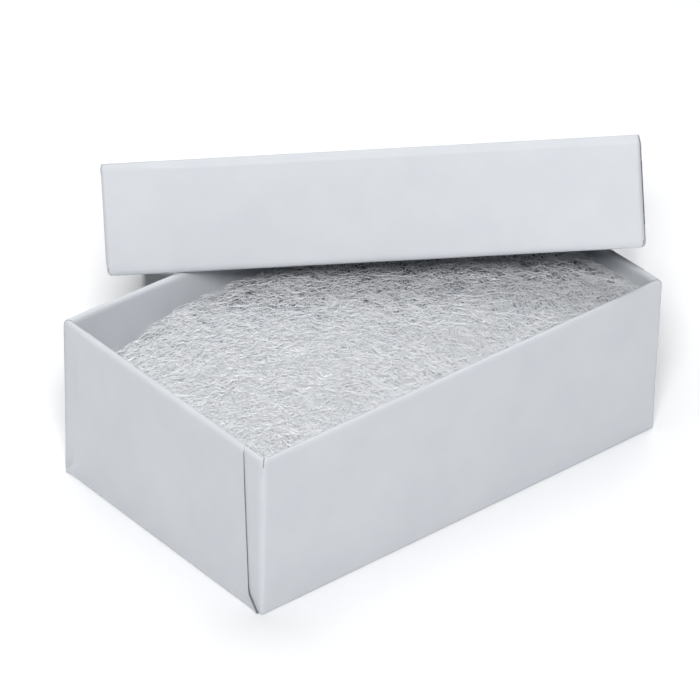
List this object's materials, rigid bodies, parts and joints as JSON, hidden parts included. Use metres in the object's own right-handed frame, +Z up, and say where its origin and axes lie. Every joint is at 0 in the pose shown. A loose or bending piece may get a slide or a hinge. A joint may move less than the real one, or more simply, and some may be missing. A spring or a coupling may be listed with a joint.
{
  "type": "jewelry gift box",
  "caption": "Two-piece paper-wrapped chipboard gift box with a fibre pad, its lid leaning open over one corner of the tray.",
  "frame": {"origin": "centre of the tray's underside, on the surface it stands on", "axes": "+Z up, X along the tray's long side, Y along its short side; the lid leans over the corner at +X +Y"},
  "size_m": [0.0926, 0.0778, 0.041],
  "materials": {
    "wrap_paper": "satin",
    "chipboard": "matte",
    "stay_tape": "matte",
    "pad_fibre": "matte"
  },
  "bodies": {
    "tray": {"base_board_panel": "chipboard", "base_board_front": "chipboard", "base_board_back": "chipboard", "base_board_left": "chipboard", "base_board_right": "chipboard", "base_wrap": "wrap_paper", "base_corner_stay_front_left": "stay_tape", "base_corner_stay_front_right": "stay_tape", "base_corner_stay_back_left": "stay_tape", "base_corner_stay_back_right": "stay_tape"},
    "pad": {"fibre_pad": "pad_fibre"},
    "lid": {"lid_board_panel": "chipboard", "lid_board_front": "chipboard", "lid_board_back": "chipboard", "lid_board_left": "chipboard", "lid_board_right": "chipboard", "lid_wrap": "wrap_paper", "lid_corner_stay_front_left": "stay_tape", "lid_corner_stay_front_right": "stay_tape", "lid_corner_stay_back_left": "stay_tape", "lid_corner_stay_back_right": "stay_tape"}
  },
  "joints": [
    {"name": "pad_lift", "type": "slide", "parent": "tray", "child": "pad", "axis": [0, 0, 1], "range_m": [0, 0.03]},
    {"name": "lid_lift", "type": "slide", "parent": "pad", "child": "lid", "axis": [0, 0, 1], "range_m": [0, 0.04]}
  ]
}
